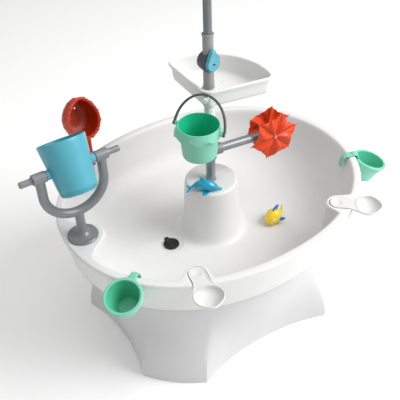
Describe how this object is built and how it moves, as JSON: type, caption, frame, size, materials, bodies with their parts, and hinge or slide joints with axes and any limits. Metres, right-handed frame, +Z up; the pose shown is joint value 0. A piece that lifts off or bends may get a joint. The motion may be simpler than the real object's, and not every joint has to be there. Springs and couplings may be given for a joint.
{
  "type": "sand and water table",
  "caption": "Moulded play basin on a footed stand, with a mast carrying a spinner arm, a rain tray and a pole, and with buckets, cups, a scoop, launchers and bath toys.",
  "frame": {"origin": "centre of the whole object's footprint, on the floor", "axes": "+X along the basin towards the spinner arm; +Y across the basin, away from the spoon launchers; +Z up"},
  "size_m": [1.1343, 0.8629, 1.2],
  "materials": {
    "base_stand": "smooth moulded plastic, satin",
    "basin": "smooth moulded plastic, satin",
    "basin_screw_1": "plain steel",
    "basin_screw_2": "plain steel",
    "basin_screw_3": "plain steel",
    "basin_screw_4": "plain steel",
    "drain_plug": "smooth black rubber",
    "mast_lower": "grey painted tube",
    "arm_tee": "grey moulded plastic, satin",
    "spinner_arm": "grey moulded plastic, satin",
    "arm_cap": "grey moulded plastic, satin",
    "yoke": "grey moulded plastic, satin",
    "pivot_knob_left": "grey moulded plastic, satin",
    "pivot_knob_right": "grey moulded plastic, satin",
    "mast_sleeve": "grey moulded plastic, satin",
    "spinner_axle": "bright pin",
    "spinner_front": "orange moulded plastic",
    "spinner_back": "orange moulded plastic",
    "rain_tray": "smooth moulded plastic, satin",
    "mast_upper": "dark grey painted tube",
    "clamp_housing": "dark grey moulded plastic",
    "clamp_knob": "light blue moulded plastic",
    "clamp_screw": "black screw cap",
    "yoke_screw": "plain steel",
    "tipping_bucket": "light blue moulded plastic",
    "hanging_bucket": "mint green moulded plastic",
    "bucket_bail": "dark grey moulded plastic",
    "cup_front": "mint green moulded plastic",
    "cup_right": "mint green moulded plastic",
    "scoop": "red moulded plastic",
    "launcher_front": "white moulded plastic",
    "launcher_pin_front": "plain steel",
    "launcher_right": "white moulded plastic",
    "launcher_pin_right": "plain steel",
    "dolphin": "glossy blue soft plastic",
    "fish_body": "glossy yellow soft plastic",
    "fish_fin_top": "glossy blue soft plastic",
    "fish_fin_left": "glossy blue soft plastic",
    "fish_fin_right": "glossy blue soft plastic"
  },
  "bodies": {
    "table": {"base_stand": "base_stand", "basin": "basin", "basin_screw_1": "basin_screw_1", "basin_screw_2": "basin_screw_2", "basin_screw_3": "basin_screw_3", "basin_screw_4": "basin_screw_4", "mast_lower": "mast_lower", "arm_tee": "arm_tee", "spinner_arm": "spinner_arm", "arm_cap": "arm_cap", "yoke": "yoke", "yoke_screw": "yoke_screw", "launcher_pin_front": "launcher_pin_front", "launcher_pin_right": "launcher_pin_right"},
    "spinner": {"spinner_axle": "spinner_axle", "spinner_front": "spinner_front", "spinner_back": "spinner_back"},
    "rain_tray": {"rain_tray": "rain_tray", "mast_sleeve": "mast_sleeve", "clamp_housing": "clamp_housing", "clamp_screw": "clamp_screw"},
    "clamp_knob": {"clamp_knob": "clamp_knob"},
    "pole": {"mast_upper": "mast_upper"},
    "tipping_bucket": {"tipping_bucket": "tipping_bucket", "pivot_knob_left": "pivot_knob_left", "pivot_knob_right": "pivot_knob_right"},
    "bail": {"bucket_bail": "bucket_bail"},
    "hanging_bucket": {"hanging_bucket": "hanging_bucket"},
    "cup_front": {"cup_front": "cup_front"},
    "cup_right": {"cup_right": "cup_right"},
    "scoop": {"scoop": "scoop"},
    "launcher_front": {"launcher_front": "launcher_front"},
    "launcher_right": {"launcher_right": "launcher_right"},
    "dolphin": {"dolphin": "dolphin"},
    "fish": {"fish_body": "fish_body", "fish_fin_top": "fish_fin_top", "fish_fin_left": "fish_fin_left", "fish_fin_right": "fish_fin_right"},
    "drain_plug": {"drain_plug": "drain_plug"}
  },
  "joints": [
    {"name": "spinner_spin", "type": "hinge", "parent": "table", "child": "spinner", "pos_m": [0.2118, -0.03383, 0.6], "axis": [-0.1392, -0.9903, 0], "continuous": true},
    {"name": "tray_turn", "type": "hinge", "parent": "table", "child": "rain_tray", "pos_m": [0.0088, -0.0053, 0.7], "axis": [0, 0, 1], "range_deg": [-60, 60]},
    {"name": "knob_turn", "type": "hinge", "parent": "rain_tray", "child": "clamp_knob", "pos_m": [0.0088, -0.0283, 0.9], "axis": [0, -1, 0], "range_deg": [-90, 90]},
    {"name": "pole_slide", "type": "slide", "parent": "rain_tray", "child": "pole", "axis": [0, 0, 1], "range_m": [0, 0.12]},
    {"name": "bucket_tip", "type": "hinge", "parent": "table", "child": "tipping_bucket", "pos_m": [-0.4227, 0.0067, 0.725], "axis": [1, 0, 0], "continuous": true},
    {"name": "bail_lift_off", "type": "slide", "parent": "rain_tray", "child": "bail", "axis": [-0.5499, -0.4449, 0.7069], "range_m": [0, 0.35]},
    {"name": "bucket_swing", "type": "hinge", "parent": "bail", "child": "hanging_bucket", "pos_m": [-0.0597, -0.0547, 0.7335], "axis": [0.5, -0.866, 0], "range_deg": [-35, 10]},
    {"name": "cup_front_lift", "type": "slide", "parent": "table", "child": "cup_front", "axis": [0, 0, 1], "range_m": [0, 0.16]},
    {"name": "cup_right_lift", "type": "slide", "parent": "table", "child": "cup_right", "axis": [0, 0, 1], "range_m": [0, 0.16]},
    {"name": "scoop_lift", "type": "slide", "parent": "table", "child": "scoop", "axis": [0, 0, 1], "range_m": [0, 0.16]},
    {"name": "launcher_front_tilt", "type": "hinge", "parent": "table", "child": "launcher_front", "pos_m": [-0.24427, -0.33656, 0.462], "axis": [-0.9781, 0.2079, 0], "range_deg": [0, 18]},
    {"name": "launcher_right_tilt", "type": "hinge", "parent": "table", "child": "launcher_right", "pos_m": [0.28807, -0.32155, 0.462], "axis": [-0.6691, -0.7431, 0], "range_deg": [0, 18]},
    {"name": "dolphin_lift", "type": "slide", "parent": "table", "child": "dolphin", "axis": [-0.6413, -0.5812, 0.501], "range_m": [0, 0.32]},
    {"name": "fish_lift", "type": "slide", "parent": "table", "child": "fish", "axis": [0, -0.3499, 0.9368], "range_m": [0, 0.24]},
    {"name": "plug_lift", "type": "slide", "parent": "table", "child": "drain_plug", "axis": [0, 0, 1], "range_m": [0, 0.2]}
  ]
}
